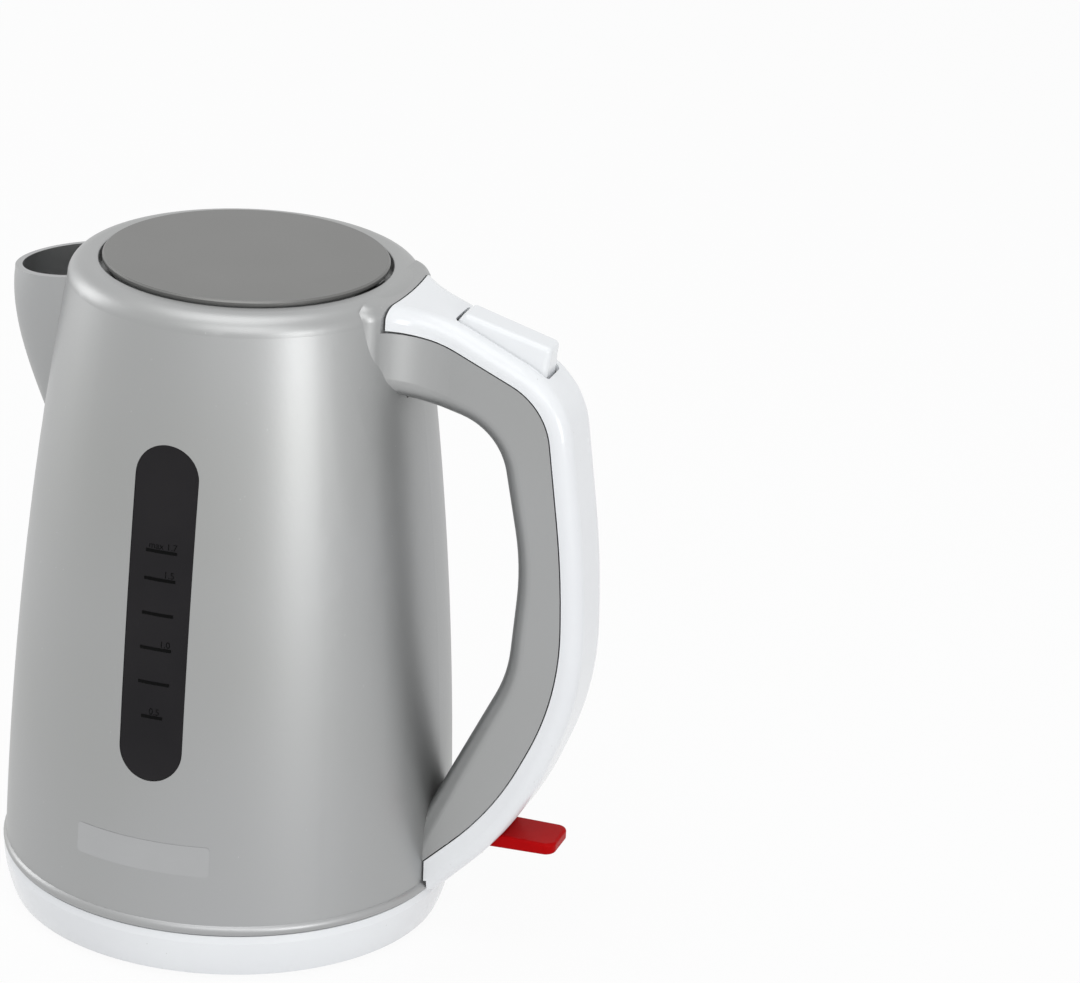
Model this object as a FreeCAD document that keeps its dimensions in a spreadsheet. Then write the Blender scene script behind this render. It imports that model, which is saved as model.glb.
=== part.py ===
import FreeCAD, Part
import math
import os
from FreeCAD import Placement, Rotation, Vector

# Toy kettle, in millimetres.
# Origin: the centre of the base's underside. +Z up, +X towards the handle, -X towards the spout,
# -Y towards the near level window. The far window is its mirror image.

doc = FreeCAD.newDocument("toy_kettle")
sheet = doc.addObject("Spreadsheet::Sheet", "Sizes")

SIZES = [
    # body
    ("base_height", 14.9, "top edge of the white pan"),
    ("shoulder_height", 198.6, "crest of the shoulder"),
    ("body_base_radius", 66.8, "silver wall at its foot"),
    ("body_top_radius", 51.3, "silver wall where the shoulder starts"),
    ("body_bulge", 3.2, "how far the wall bows out from a straight taper"),
    ("body_wall", 2.2, "thickness of the silver moulding"),
    ("shoulder_round", 6.0, "radius of the shoulder"),
    ("bead_height", 1.9, "silver bead above the pan"),
    ("bead_proud", 0.8, "how far the bead stands out"),
    ("seam_gap", 0.4, "dark line between two mouldings"),
    ("mouth_inset", 9.0, "mouth's edge, in from the shoulder's wall"),
    ("mouth_round", 0.7, "rounding of the mouth's edge"),
    ("ledge_depth", 4.0, "lid seat below the crest"),
    ("ledge_width", 5.5, "lid seat, from the mouth inwards"),
    # spout
    ("spout_out", 18.9, "tip of the spout, out from the wall"),
    ("spout_half_width", 18.6, "spout where it leaves the wall"),
    ("spout_rim_drop", 7.9, "spout's rim below the crest at the wall"),
    ("spout_tip_dip", 2.6, "spout's tip below its rim at the wall"),
    ("spout_depth", 54.0, "length of the spout down the wall"),
    ("spout_wall", 2.0, "thickness of the spout"),
    # level windows
    ("window_bottom", 61.0, "lower end of the slot"),
    ("window_drop", 38.1, "upper end of the slot below the crest"),
    ("window_width", 19.2, "slot across"),
    ("window_recess", 0.25, "pad below the silver surface"),
    ("window_flange", 3.6, "flange around the pad, behind the wall"),
    ("window_flange_thick", 1.4, "thickness of the flange"),
    ("window_clearance", 0.15, "pad to slot"),
    ("mark_first", 19.4, "lowest level mark above the slot's lower end"),
    ("mark_max", 30.9, "highest level mark below the slot's upper end"),
    ("mark_last_gap", 8.2, "highest level mark above the one before it"),
    ("mark_length", 9.4, "length of a level mark"),
    ("mark_short", 6.4, "length of the lowest level mark"),
    ("mark_height", 0.9, "height of a level mark"),
    ("print_thick", 0.12, "thickness of print and of the clear label"),
    ("print_gap", 0.02, "print and label above what carries them"),
    ("label_length", 42.0, "clear label, round the wall"),
    ("label_height", 9.3, "clear label, up the wall"),
    ("label_level", 38.0, "middle of the label above the table"),
    ("label_turn", -1.8, "middle of the label from the near side, in degrees"),
    # handle, outer surface: corners of its side view
    ("root_inset", 7.3, "first corner, inside the shoulder"),
    ("slope_out", 15.5, "second corner, out from the shoulder's wall"),
    ("slope_drop", 6.0, "second corner, below the crest"),
    ("bend_out", 49.8, "third corner, out from the shoulder's wall"),
    ("bend_drop", 21.9, "third corner, below the crest"),
    ("grip_out", 51.54, "fourth corner, out from the straight taper of the wall"),
    ("grip_share", 0.6244, "fourth corner's height, as a share of the crest's"),
    ("belly_out", 49.58, "fifth corner, out from that taper"),
    ("belly_share", 0.4215, "fifth corner's height, as a share of the crest's"),
    ("heel_out", 28.96, "sixth corner, out from that taper"),
    ("heel_share", 0.2034, "sixth corner's height, as a share of the crest's"),
    ("toe_inset", 1.3, "last corner, inside the base's wall"),
    ("toe_drop", 3.5, "last corner below the pan's top edge"),
    ("slope_round", 0.265, "second corner's round, as a share of the shorter run beside it"),
    ("bend_round", 0.377, "third corner's round, as such a share"),
    ("grip_round", 0.379, "fourth corner's round, as such a share"),
    ("belly_round", 0.477, "fifth corner's round, as such a share"),
    ("heel_round", 0.51, "sixth corner's round, as such a share"),
    # handle, cover and channel
    ("grip_width", 23.0, "handle across"),
    ("root_depth", 26.4, "handle's depth where it leaves the shoulder"),
    ("bend_depth", 21.8, "handle's depth at the bend"),
    ("grip_depth", 19.4, "handle from outer face to finger side, at the grip"),
    ("belly_depth", 23.0, "handle's depth at the belly"),
    ("heel_depth", 25.8, "handle's depth at the heel"),
    ("toe_depth", 13.6, "handle's depth inside the base's wall"),
    ("inner_slope_round", 0.025, "finger side under the slope, as such a share"),
    ("inner_bend_round", 0.497, "finger side under the bend, as such a share"),
    ("inner_grip_round", 0.312, "finger side of the grip, as such a share"),
    ("inner_belly_round", 0.226, "finger side of the belly, as such a share"),
    ("inner_heel_round", 0.022, "finger side of the heel, as such a share"),
    ("cover_root_depth", 6.7, "white cover at the root"),
    ("cover_depth", 6.0, "white cover at the grip"),
    ("cover_heel_depth", 8.6, "white cover at the heel"),
    ("cover_toe_depth", 9.6, "white cover at the toe"),
    ("cover_wall", 1.8, "thickness of the cover"),
    ("channel_wall", 2.2, "thickness of the silver channel"),
    ("cover_edge_round", 4.5, "outer edges of the cover"),
    ("channel_edge_round", 5.5, "finger side edges of the channel"),
    ("tongue_height", 2.6, "cover's locating tongue"),
    ("tongue_thick", 1.0, "thickness of the tongue"),
    ("tongue_clearance", 0.2, "tongue to channel"),
    ("cover_front_inset", 0.5, "middle of the cover's front edge, in from the shoulder's wall"),
    ("cover_front_round", 150.0, "radius of that edge, seen from above"),
    ("flare_round", 23.5, "cover's flare at the root, seen from above"),
    ("flare_half", 22.3, "cover's half width at the shoulder"),
    ("flare_corner", 4.7, "cover's corners at the shoulder"),
    ("collar_round", 21.6, "silver flare at the root"),
    ("collar_half", 24.9, "silver flare's half width at the shoulder"),
    ("collar_corner", 6.5, "silver flare's corners"),
    # lid
    ("lid_rise", 1.4, "lid's top above the crest"),
    ("disc_gap", 0.9, "top disc of the lid to the mouth's edge"),
    ("disc_thick", 1.5, "thickness of the top disc"),
    ("disc_bevel", 0.5, "bevel round the top disc"),
    ("lid_rim_gap", 1.2, "lid's rim under the disc to the mouth's edge"),
    ("lid_seat_inset", 3.7, "lid's rim on the ledge, in from the mouth's edge"),
    ("lid_plate", 1.4, "thickness of the lid's underside"),
    ("lid_rim_wall", 1.7, "width of the seating bead"),
    ("lid_bead_inset", 8.1, "second bead, in from the mouth's edge"),
    ("lid_seat_gap", 0.3, "lid to ledge"),
    # hinge
    ("pivot_out", 0.7, "hinge axis, out from the shoulder's wall"),
    ("pivot_drop", 11.1, "hinge axis, below the crest"),
    ("hinge_pin_radius", 1.5, "hinge pin"),
    ("hinge_pin_over", 2.1, "ends of the hinge pin, out from the handle's half width"),
    ("pin_seat_clearance", 0.03, "fixed pins in their seats"),
    ("running_clearance", 0.06, "barrel and lever on their pins"),
    ("barrel_radius", 3.2, "hinge barrel"),
    ("rib_inner", 15.3, "gooseneck ribs, inner radius about the pin"),
    ("rib_outer", 18.6, "gooseneck ribs, outer radius"),
    ("rib_web", 1.2, "web that ties the ribs"),
    ("rib_thick", 1.8, "thickness of a rib"),
    ("rib_side", 1.5, "outer ribs to the pocket's sides"),
    ("rib_start", 148.0, "ribs' upper end about the pin, in degrees"),
    ("rib_tip", 165.0, "where the ribs' tips leave the round, in degrees"),
    ("rib_end", 272.0, "ribs' lower end about the pin, in degrees"),
    ("arm_spread", 16.0, "arms from the barrel to the ribs, in degrees"),
    ("rib_flare_length", 13.0, "tips along the lid's underside"),
    ("pocket_side", 1.3, "hinge pocket's sides, in from the handle's half width"),
    ("pocket_bottom_drop", 30.3, "pocket's sill below the crest"),
    ("pocket_top_drop", 7.0, "pocket's head below the crest"),
    ("ear_thick", 3.0, "thickness of the ears that hold the pin"),
    ("ear_radius", 3.6, "radius of those ears"),
    ("ear_gap", 0.4, "ears to what turns between them"),
    ("cam_radius", 6.2, "catch on the hinge barrel"),
    ("cam_half", 1.9, "half width of the catch"),
    ("cam_spread", 16.0, "catch to each side of the bolt's line, in degrees"),
    # button
    ("button_front", 14.6, "front of the button's slot, along the slope from the wall's edge"),
    ("button_length", 31.6, "length of the slot"),
    ("button_front_side", 5.1, "slot's sides in front, in from the handle's half width"),
    ("button_rear_side", 5.7, "slot's sides at the rear, in from the handle's half width"),
    ("button_gap", 0.45, "gap round the button"),
    ("button_front_proud", 2.3, "button above the cover in front"),
    ("button_rear_proud", 7.0, "button above the cover at the rear"),
    ("button_draft", 0.9, "how far the sides lean in"),
    ("button_rear_lean", 3.2, "how far the rear leans in"),
    ("button_wall", 1.6, "thickness of the button"),
    ("button_sink", 2.6, "button below the cover's outer face"),
    ("button_round", 1.7, "rounded edges of the button"),
    ("trunnion_back", 2.8, "trunnions behind the button's front"),
    ("trunnion_sink", 4.0, "trunnions below the cover's outer face"),
    ("trunnion_radius", 1.5, "trunnions"),
    # latch
    ("slider_half", 3.6, "half width of the bolt"),
    ("slider_window_half", 2.0, "half width of the bolt's window"),
    ("slider_thick", 3.2, "thickness of the bolt"),
    ("slider_length", 33.0, "length of the bolt"),
    ("slider_gap", 0.3, "bolt to catch, and bolt to its guides"),
    ("guide_first", 17.0, "first guide rib, along the slope from the pin"),
    ("guide_second", 30.0, "second guide rib"),
    ("guide_thick", 1.6, "thickness of the guide ribs"),
    ("shelf_thick", 1.4, "shelf under the button's spring"),
    ("stem_half", 1.7, "half width of the button's stem"),
    ("stem_sink", 1.0, "stem's tip below the bolt's top"),
    ("stem_tip", 1.2, "stem's tip, front to rear"),
    ("stem_room", 1.1, "between the second guide and the stem"),
    ("window_room", 3.3, "bolt's window in front of the stem"),
    ("ramp_gap", 0.25, "stem to the bolt's sloping face, along the bolt"),
    ("stop_from_pin", 48.0, "rib behind the bolt's spring"),
    # springs
    ("spring_wire", 0.5, "wire of the small springs"),
    ("button_spring_radius", 2.2, "coil of the button's spring"),
    ("latch_spring_radius", 1.7, "coil of the bolt's spring"),
    ("lid_spring_radius", 2.4, "coil of the lid's spring, over the pin"),
    ("coil_spacing", 1.25, "pitch of the lid's spring, in wires"),
    ("coil_open_spacing", 2.2, "pitch of the other springs, in wires"),
    ("spring_seat_gap", 0.1, "spring to its seats"),
    # red lever
    ("lever_inset", 13.9, "lever's axis, in from the handle's sixth corner"),
    ("lever_below", 6.7, "lever's axis below that corner"),
    ("lever_side", 3.85, "lever's sides, in from the handle's half width"),
    ("lever_reach", 24.6, "tip of the lever from its axis"),
    ("lever_thick", 4.3, "thickness of the lever at its root"),
    ("lever_tip_thick", 3.5, "thickness of the lever at its tip"),
    ("lever_tip_round", 3.2, "corners of the tip"),
    ("lever_hub_radius", 3.0, "hub of the lever"),
    ("lever_pin_radius", 1.2, "pin of the lever"),
    ("lever_slot_gap", 0.5, "slot round the lever"),
    ("lever_drop", 2.2, "room under the lever for its stroke"),
    # base
    ("pan_proud", 0.5, "white pan at its widest, out from the silver wall"),
    ("pan_foot_inset", 5.2, "flat underside of the pan, in from that wall"),
    ("pan_low_inset", 2.4, "pan just above the table, in from that wall"),
    ("pan_low_level", 1.4, "height of that edge"),
    ("pan_wide_drop", 2.3, "where the pan is widest, below its top edge"),
    ("pan_wall", 2.0, "thickness of the pan"),
    ("spigot_height", 4.0, "pan's ring inside the silver wall"),
    ("spigot_wall", 1.6, "thickness of that ring"),
    ("spigot_clearance", 0.3, "ring to silver wall"),
    ("floor_rise", 5.1, "underside of the cup's floor above the pan's top edge"),
    ("floor_thick", 2.0, "thickness of the cup's floor"),
    ("floor_clearance", 0.3, "floor to silver wall"),
    ("floor_rib", 1.5, "rib in the wall above the floor"),
    ("screw_inset", 20.8, "circle of screws, in from the silver wall"),
    ("screw_turn", 60.0, "first screw from the handle's side, in degrees"),
    ("screw_radius", 1.3, "shank of the screws"),
    ("screw_length", 10.0, "length of the shank"),
    ("screw_head_radius", 2.9, "head of the screws"),
    ("screw_head_height", 1.7, "height of the head"),
    ("screw_sink", 0.8, "head below the pan's underside"),
    ("screw_slot_length", 4.1, "cross slot in the head"),
    ("screw_slot_width", 0.7, "width of the cross slot"),
    ("screw_slot_depth", 0.85, "depth of the cross slot"),
    ("boss_radius", 3.6, "bosses under the cup's floor"),
]

row = 0
for alias, value, meaning in SIZES:
    row += 1
    sheet.set(f"A{row}", alias)
    sheet.set(f"B{row}", str(value))
    sheet.set(f"C{row}", meaning)
    sheet.setAlias(f"B{row}", alias)
doc.recompute()


class Named:
    """The sheet's values by name."""

    def __getattr__(self, alias):
        return float(sheet.get(alias))


size = Named()

X_AXIS = Vector(1, 0, 0)
Y_AXIS = Vector(0, 1, 0)
Z_AXIS = Vector(0, 0, 1)
ORIGIN = Vector(0, 0, 0)
FULL_TURN = 360.0
FAR = 260.0            # further than any point of the kettle
SCREWS = 3
MARKS = 5
RIBS = 4
SPOUT_SECTIONS = 8
SPOUT_POINTS = 16
COIL_POINTS = 8
SPOUT_SPREAD = 1.3     # how late the spout leans out on its way up
SPOUT_FILL = 0.6       # how soon it widens
SPOUT_FIRST = 0.025    # share of its length where its lowest ring lies
STEP_OVER = 0.5        # how far a cutter passes a face that it must clear
TINY = 1e-6


def xz(x, z):
    """A point of the kettle's side view."""
    return Vector(x, 0, z)


def line(start, end):
    return Part.LineSegment(start, end).toShape()


def arc(start, middle, end):
    return Part.Arc(start, middle, end).toShape()


def rounded_path(corners, radii):
    """Edges along the corners, each inner corner rounded by its own radius."""
    edges = []
    start = corners[0]
    for before, corner, after, radius in zip(corners, corners[1:], corners[2:], radii):
        to_before = (before - corner).normalize()
        to_after = (after - corner).normalize()
        half = to_before.getAngle(to_after) / 2
        enter = corner + to_before * (radius / math.tan(half))
        leave = corner + to_after * (radius / math.tan(half))
        inwards = (to_before + to_after).normalize()
        middle = corner + inwards * (radius / math.sin(half) - radius)
        if (enter - start).Length > TINY:
            edges.append(line(start, enter))
        edges.append(arc(enter, middle, leave))
        start = leave
    edges.append(line(start, corners[-1]))
    return edges


def plate(edges):
    return Part.Face(Part.Wire(Part.__sortEdges__(edges)))


def polygon(points):
    return Part.Face(Part.makePolygon(points + [points[0]]))


def turned(face):
    """A face of the side view, turned about the kettle's axis."""
    return face.revolve(ORIGIN, Z_AXIS, FULL_TURN)


def across(face, half):
    """A face of the side view, thickened to both sides of it."""
    shape = face.copy()
    shape.translate(Y_AXIS * -half)
    return shape.extrude(Y_AXIS * (2 * half))


def block(low, high):
    span = high - low
    return Part.makeBox(span.x, span.y, span.z, low)


def rod(centre, radius, half, axis=Y_AXIS):
    return Part.makeCylinder(radius, 2 * half, centre - axis * half, axis)


def feature(name, shape):
    made = doc.addObject("Part::Feature", name)
    made.Label = name
    made.Shape = shape
    return made


# body wall: levels and radii that the rest is set against

crest = size.shoulder_height
seam = size.base_height + size.seam_gap
top_wall = size.body_top_radius
base_wall = size.body_base_radius
half_grip = size.grip_width / 2
mouth_radius = top_wall - size.mouth_inset
floor_level = size.base_height + size.floor_rise
wall_foot = xz(size.body_base_radius, seam + size.bead_height)
shoulder_centre = xz(size.body_top_radius - size.shoulder_round, crest - size.shoulder_round)
wall_top = shoulder_centre + X_AXIS * size.shoulder_round
ledge_level = crest - size.ledge_depth
ledge_radius = mouth_radius - size.ledge_width


def wall_arc(inset, low=None, high=None):
    """The bowed side of the body, moved in by the inset."""
    foot = (low or wall_foot) - X_AXIS * inset
    top = (high or wall_top) - X_AXIS * inset
    middle = (foot + top) * 0.5 + X_AXIS * size.body_bulge
    return arc(foot, middle, top)


def body_solid(inset):
    """The body filled solid, moved in by the inset, up to the shoulder's crest."""
    centre = shoulder_centre
    radius = size.shoulder_round - inset
    rim = centre + X_AXIS * radius
    crown = centre + Z_AXIS * radius
    corner = centre + (X_AXIS + Z_AXIS).normalize() * radius
    foot = xz(wall_foot.x - inset, seam)
    edges = [
        line(xz(0, seam), foot),
        line(foot, wall_foot - X_AXIS * inset),
        wall_arc(inset),
        arc(rim, corner, crown),
        line(crown, xz(0, crown.z)),
        line(xz(0, crown.z), xz(0, seam)),
    ]
    return turned(plate(edges))


def wall_skin(outside, inside, low, high):
    """A ring of the wall's own curve, between two insets and two heights."""
    edges = [
        wall_arc(outside),
        line(wall_top - X_AXIS * outside, wall_top - X_AXIS * inside),
        wall_arc(inside),
        line(wall_foot - X_AXIS * inside, wall_foot - X_AXIS * outside),
    ]
    ring = turned(plate(edges))
    return ring.common(block(Vector(-FAR, -FAR, low), Vector(FAR, FAR, high)))


def bead():
    """The silver bead above the white pan."""
    outer = size.body_base_radius + size.bead_proud
    inner = size.body_base_radius - size.body_wall / 2
    middle = seam + size.bead_height / 2
    edges = [
        line(xz(inner, seam), xz(outer - size.bead_proud / 2, seam)),
        arc(xz(outer - size.bead_proud / 2, seam), xz(outer, middle),
            xz(outer - size.bead_proud, wall_foot.z + size.bead_height / 2)),
        line(xz(outer - size.bead_proud, wall_foot.z + size.bead_height / 2),
             xz(inner, wall_foot.z)),
        line(xz(inner, wall_foot.z), xz(inner, seam)),
    ]
    return turned(plate(edges))


def cup():
    """Cup wall, shoulder, folded lip with the lid's ledge, and the rib above the floor."""
    wall = size.body_wall
    centre = shoulder_centre
    outer = size.shoulder_round
    inner = outer - wall
    diagonal = (X_AXIS + Z_AXIS).normalize()
    lip_bottom = ledge_level - wall
    lip_outer = mouth_radius + wall
    soft = size.mouth_round
    soft_middle = soft * (1 - math.sqrt(0.5))
    rib_bottom = floor_level + size.floor_thick + size.floor_clearance
    rib_top = rib_bottom + size.floor_rib
    rib_in = size.body_base_radius - wall - size.floor_rib
    foot_in = wall_foot - X_AXIS * wall
    edges = [
        line(xz(foot_in.x, seam), xz(wall_foot.x, seam)),
        line(xz(wall_foot.x, seam), wall_foot),
        wall_arc(0),
        arc(wall_top, centre + diagonal * outer, centre + Z_AXIS * outer),
        line(centre + Z_AXIS * outer, xz(mouth_radius + soft, crest)),
        arc(xz(mouth_radius + soft, crest),
            xz(mouth_radius + soft_middle, crest - soft_middle),
            xz(mouth_radius, crest - soft)),
        line(xz(mouth_radius, crest - soft), xz(mouth_radius, ledge_level)),
        line(xz(mouth_radius, ledge_level), xz(ledge_radius, ledge_level)),
        line(xz(ledge_radius, ledge_level), xz(ledge_radius, lip_bottom)),
        line(xz(ledge_radius, lip_bottom), xz(lip_outer, lip_bottom)),
        line(xz(lip_outer, lip_bottom), xz(lip_outer, crest - wall)),
        line(xz(lip_outer, crest - wall), centre + Z_AXIS * inner),
        arc(centre + Z_AXIS * inner, centre + diagonal * inner, centre + X_AXIS * inner),
        wall_arc(wall),
        line(foot_in, xz(foot_in.x, seam)),
    ]
    rib_out = foot_in.x + wall / 2
    rib_face = polygon([xz(rib_in, rib_bottom), xz(rib_out, rib_bottom), xz(rib_out, rib_top),
                        xz(rib_in, rib_top)])
    return turned(plate(edges)).fuse([turned(rib_face), bead()])


# spout

spout_rim_level = crest - size.spout_rim_drop
spout_bottom = spout_rim_level - size.spout_depth


def wall_radius(level):
    """Outer radius of the wall at a height, from the same bowed arc."""
    chord = wall_top - wall_foot
    sag = size.body_bulge
    radius = (chord.Length ** 2 / 4 + sag ** 2) / (2 * sag)
    middle = (wall_foot + wall_top) * 0.5 + X_AXIS * sag
    inwards = Vector(-chord.z, 0, chord.x).normalize()
    if inwards.x > 0:
        inwards = inwards * -1
    centre = middle + inwards * radius
    return centre.x + math.sqrt(radius ** 2 - (level - centre.z) ** 2)


def spout_section(share, inset):
    """An ellipse-like ring of the spout at its share of the way up, or None where it is closed."""
    level = spout_bottom + share * size.spout_depth
    turn = math.sin(min(share, 1.0) * math.pi / 2)
    over = max(share - 1.0, 0.0)
    centre = wall_radius(level) - size.spout_wall
    out = size.spout_out * (turn ** SPOUT_SPREAD + over)
    along = out + size.spout_wall - inset
    wide = size.spout_half_width * turn ** SPOUT_FILL - inset
    if min(along, wide) < inset / 2 + STEP_OVER:
        return None
    points = []
    for step in range(SPOUT_POINTS):
        angle = 2 * math.pi * step / SPOUT_POINTS
        points.append(Vector(-centre - along * math.cos(angle), wide * math.sin(angle), level))
    curve = Part.BSplineCurve()
    curve.interpolate(points, PeriodicFlag=True)
    return Part.Wire(curve.toShape())


def spout_loft(inset):
    """The spout as nested rings that grow upwards and pass its rim."""
    shares = [SPOUT_FIRST] + [step / SPOUT_SECTIONS for step in range(1, SPOUT_SECTIONS + 2)]
    rings = [spout_section(share, inset) for share in shares]
    return Part.makeLoft([ring for ring in rings if ring], True)


def above_spout_rim():
    """Everything over the plane of the spout's rim, which dips towards the tip."""
    root_x = -wall_radius(spout_rim_level)
    tip = xz(root_x - size.spout_out, spout_rim_level - size.spout_tip_dip)
    root = xz(root_x, spout_rim_level)
    slope = (tip - root).normalize()
    far_tip = root + slope * FAR / 4
    inside = root - slope * (mouth_radius / 4)
    return across(polygon([inside, far_tip, far_tip + Z_AXIS * FAR / 4, inside + Z_AXIS * FAR / 4]), FAR / 4)


# handle: three paths in its side view, each set in from the outer corners

def taper_corner(out, share):
    """A corner at a share of the crest's height, out from the straight taper of the wall."""
    level = share * crest
    way_up = (level - wall_foot.z) / (wall_top.z - wall_foot.z)
    return xz(base_wall + (top_wall - base_wall) * way_up + out, level)


outer_corners = [
    xz(top_wall - size.root_inset, crest),
    xz(top_wall + size.slope_out, crest - size.slope_drop),
    xz(top_wall + size.bend_out, crest - size.bend_drop),
    taper_corner(size.grip_out, size.grip_share),
    taper_corner(size.belly_out, size.belly_share),
    taper_corner(size.heel_out, size.heel_share),
    xz(base_wall - size.toe_inset, size.base_height - size.toe_drop),
]
cover_depths = [size.cover_root_depth, size.cover_root_depth, size.cover_depth, size.cover_depth,
                size.cover_depth, size.cover_heel_depth, size.cover_toe_depth]
finger_depths = [size.root_depth, size.root_depth, size.bend_depth, size.grip_depth,
                 size.belly_depth, size.heel_depth, size.toe_depth]


def set_in(depths, more=0.0):
    """The outer corners, each moved towards the finger side by its own depth."""
    moved = []
    last = len(outer_corners) - 1
    for index, corner in enumerate(outer_corners):
        before = outer_corners[max(index - 1, 0)]
        after = outer_corners[min(index + 1, last)]
        arrive = (corner - before) if index > 0 else (after - corner)
        depart = (after - corner) if index < last else (corner - before)
        arrive.normalize()
        depart.normalize()
        along = (arrive + depart).normalize()
        half_turn = arrive.getAngle(depart) / 2
        inwards = Vector(along.z, 0, -along.x)
        moved.append(corner + inwards * ((depths[index] + more) / math.cos(half_turn)))
    return moved


def corner_radii(corners, shares):
    """The radius of each inner corner, from the share of the shorter run beside it that its round takes."""
    radii = []
    for before, corner, after, share in zip(corners, corners[1:], corners[2:], shares):
        arrive = corner - before
        depart = after - corner
        run = min(arrive.Length, depart.Length)
        radii.append(share * run / math.tan(arrive.getAngle(depart) / 2))
    return radii


outer_radii = corner_radii(outer_corners, [size.slope_round, size.bend_round, size.grip_round,
                                           size.belly_round, size.heel_round])
finger_radii = corner_radii(set_in(finger_depths), [size.inner_slope_round, size.inner_bend_round,
                                                    size.inner_grip_round, size.inner_belly_round,
                                                    size.inner_heel_round])


class SidePath:
    """A rounded path of the handle's side view, with its corners and edges."""

    def __init__(self, depths, more, radii):
        self.corners = set_in(depths, more)
        self.edges = rounded_path(self.corners, radii)


def cover_path(more):
    """The seam between cover and channel, moved towards the finger side."""
    radii = [radius - depth - more for radius, depth in zip(outer_radii, cover_depths[1:])]
    return SidePath(cover_depths, more, radii)


def outer_path(more):
    """The cover's outer face, moved towards the finger side."""
    depths = [0.0] * len(outer_corners)
    return SidePath(depths, more, [radius - more for radius in outer_radii])


def finger_path(more):
    """The handle's finger side, moved towards the cover."""
    return SidePath(finger_depths, -more, [radius + more for radius in finger_radii])


def between(first, second):
    """The face between two paths of the side view."""
    ends = [
        line(first.corners[0], second.corners[0]),
        line(first.corners[-1], second.corners[-1]),
    ]
    return plate(first.edges + second.edges + ends)


def long_edges(shape, path):
    """The edges of a bar that run along a path of the side view, at both sides."""
    chosen = []
    for edge in shape.Edges:
        middle = edge.valueAt((edge.FirstParameter + edge.LastParameter) / 2)
        if abs(middle.y) < size.grip_width / 4:
            continue
        spot = Part.Vertex(Vector(middle.x, 0, middle.z))
        if min(guide.distToShape(spot)[0] for guide in path.edges) < TINY * 1000:
            chosen.append(edge)
    return chosen


flare_end = top_wall + size.slope_out


def plan_side(inset, flare_radius, far_half, corner):
    """One side of the handle seen from above: straight grip, hollow flare, rounded corner."""
    near = size.grip_width / 2 - inset
    far = far_half - inset
    hollow_radius = flare_radius + inset
    corner_radius = corner - inset
    turn = math.acos(1 - (far - near) / (hollow_radius + corner_radius))
    hollow_centre = Vector(flare_end, near + hollow_radius, 0)
    knee = hollow_centre + Vector(-math.sin(turn), -math.cos(turn), 0) * hollow_radius
    knee_middle = hollow_centre + Vector(-math.sin(turn / 2), -math.cos(turn / 2), 0) * hollow_radius
    corner_centre = knee + Vector(-math.sin(turn), -math.cos(turn), 0) * corner_radius
    corner_middle = corner_centre + Vector(math.sin(turn / 2), math.cos(turn / 2), 0) * corner_radius
    corner_end = corner_centre + Y_AXIS * corner_radius
    return [
        line(Vector(FAR, near, 0), Vector(flare_end, near, 0)),
        arc(Vector(flare_end, near, 0), knee_middle, knee),
        arc(knee, corner_middle, corner_end),
        line(corner_end, Vector(0, corner_end.y, 0)),
    ]


def handle_solid(inset, outer, finger, flare_shape, outer_edge):
    """The handle filled solid: its side view and its plan together, outer edges rounded."""
    near_side = plan_side(inset, *flare_shape)
    far_side = [edge.mirror(ORIGIN, Y_AXIS) for edge in near_side]
    ends = []
    for first, second in ((near_side[0], far_side[0]), (near_side[-1], far_side[-1])):
        spots = [spot.Point for spot in first.Vertexes if spot.X > FAR - TINY or abs(spot.X) < TINY]
        other = [spot.Point for spot in second.Vertexes if spot.X > FAR - TINY or abs(spot.X) < TINY]
        ends.append(line(spots[0], other[0]))
    plan = plate(near_side + far_side + ends).extrude(Z_AXIS * FAR)
    bar = across(between(outer, finger), FAR / 4).common(plan)
    return bar.makeFillet(outer_edge, long_edges(bar, outer))


cover_flare = (size.flare_round, size.flare_half, size.flare_corner)
collar_flare = (size.collar_round, size.collar_half, size.collar_corner)


def cover_outside(wall):
    """The handle's outside with the cover's flare, set in by a wall."""
    return handle_solid(wall, outer_path(wall), finger_path(wall), cover_flare,
                        size.cover_edge_round - wall)


def channel_outside(wall):
    """The handle's outside with the silver flare, set in by a wall."""
    finger = finger_path(wall)
    made = handle_solid(wall, outer_path(wall), finger, collar_flare, size.cover_edge_round - wall)
    return made.makeFillet(size.channel_edge_round - wall, long_edges(made, finger))


def outside_of(path):
    """Everything on the outer side of a path of the side view."""
    first = path.corners[0]
    last = path.corners[-1]
    far_top = xz(first.x, FAR)
    far_out = xz(FAR, FAR)
    far_low = xz(FAR, -FAR / 4)
    low = xz(last.x, -FAR / 4)
    ends = [line(first, far_top), line(far_top, far_out), line(far_out, far_low),
            line(far_low, low), line(low, last)]
    return across(plate(path.edges + ends), FAR / 4)


# hinge, latch and button: the slope's own directions

pivot = xz(top_wall + size.pivot_out, crest - size.pivot_drop)
slope = (outer_corners[2] - outer_corners[1]).normalize()
rise = Vector(-slope.z, 0, slope.x)
SLOPE_ANGLE = math.degrees(math.atan2(-slope.z, slope.x))


def on_slope(along, up, across_y=0.0):
    """A point from the hinge pin: along the handle's slope, up from it, and across."""
    return pivot + slope * along + rise * up + Y_AXIS * across_y


def slope_box(along_low, along_high, half, up_low, up_high):
    """A block square to the handle's slope."""
    corners = [
        on_slope(along_low, up_low),
        on_slope(along_high, up_low),
        on_slope(along_high, up_high),
        on_slope(along_low, up_high),
    ]
    return across(polygon(corners), half)


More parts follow.
